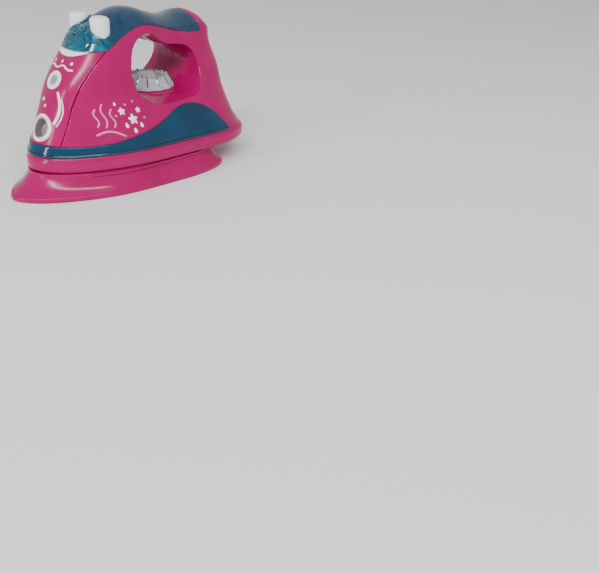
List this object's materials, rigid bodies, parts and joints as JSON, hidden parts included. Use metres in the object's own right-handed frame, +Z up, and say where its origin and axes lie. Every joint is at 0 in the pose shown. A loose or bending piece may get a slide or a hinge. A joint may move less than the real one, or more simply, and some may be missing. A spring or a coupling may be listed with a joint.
{
  "type": "toy iron",
  "caption": "Child's pretend steam iron with a closed grip, press buttons over the nose, a turning heat dial in the hand opening, a front lamp and a flared sole skirt.",
  "frame": {"origin": "middle of the iron's footprint, on the surface that the sole plate stands on", "axes": "-X is the nose, +Z is up, +Y is the right-hand side as the iron is held"},
  "size_m": [0.2101, 0.1126, 0.1225],
  "materials": {
    "magenta_gloss": "gloss",
    "blue_clear": "gloss",
    "white_gloss": "gloss",
    "grey_matte": "satin",
    "dial_clear": "gloss",
    "lens_clear": "gloss",
    "reflector_silver": "polished",
    "natural_plastic": "satin",
    "tube_vinyl": "satin",
    "spring_steel": "satin",
    "screw_steel": "satin",
    "board_green": "satin",
    "black_plastic": "satin",
    "cell_wrap": "satin"
  },
  "bodies": {
    "iron": {"left_body_half": "magenta_gloss", "right_body_half": "magenta_gloss", "front_fascia": "magenta_gloss", "base_tray": "magenta_gloss", "skirt": "magenta_gloss", "top_cover": "blue_clear", "side_band": "blue_clear", "nose_trim": "white_gloss", "lamp_bezel": "white_gloss", "spray_bezel": "white_gloss", "spray_nozzle": "grey_matte", "lamp_reflector": "reflector_silver", "lamp_lens": "lens_clear", "lamp_led": "lens_clear", "spray_spring": "spring_steel", "sound_spring": "spring_steel", "click_spring": "spring_steel", "battery_contacts": "spring_steel", "sole_plate": "grey_matte", "battery_box": "black_plastic", "battery_cells": "cell_wrap", "button_carrier": "natural_plastic", "pump_cylinder": "natural_plastic", "water_tank": "natural_plastic", "suction_tube": "tube_vinyl", "spray_tube": "tube_vinyl", "switch_board": "board_green", "circuit_board": "board_green", "tact_switch": "black_plastic", "board_chip": "black_plastic", "speaker": "black_plastic", "speaker_ring": "natural_plastic", "half_screws": "screw_steel", "sole_screws": "screw_steel"},
    "spray_push": {"spray_button": "white_gloss", "pump_piston": "natural_plastic"},
    "sound_push": {"sound_button": "white_gloss"},
    "dial": {"heat_dial": "dial_clear", "dial_spindle": "natural_plastic", "dial_clip": "spring_steel"},
    "door": {"battery_door": "grey_matte"},
    "filler": {"filler_plug": "blue_clear"}
  },
  "joints": [
    {"name": "spray_press", "type": "slide", "parent": "iron", "child": "spray_push", "axis": [0, 0, -1], "range_m": [0, 0.0036], "stiffness_N_per_m": 260, "springref_m": -0.003, "deforming": ["spray_spring"]},
    {"name": "sound_press", "type": "slide", "parent": "iron", "child": "sound_push", "axis": [0, 0, -1], "range_m": [0, 0.0036], "stiffness_N_per_m": 200, "springref_m": -0.003, "deforming": ["sound_spring"]},
    {"name": "dial_turn", "type": "hinge", "parent": "iron", "child": "dial", "pos_m": [0.024, 0, 0.0618], "axis": [0, 0, 1], "range_deg": [-135, 135]},
    {"name": "door_lift", "type": "slide", "parent": "iron", "child": "door", "axis": [0, 0, -1], "range_m": [0, 0.022]},
    {"name": "plug_pull", "type": "slide", "parent": "iron", "child": "filler", "axis": [-0.5, 0, 0.866], "range_m": [0, 0.014]}
  ]
}
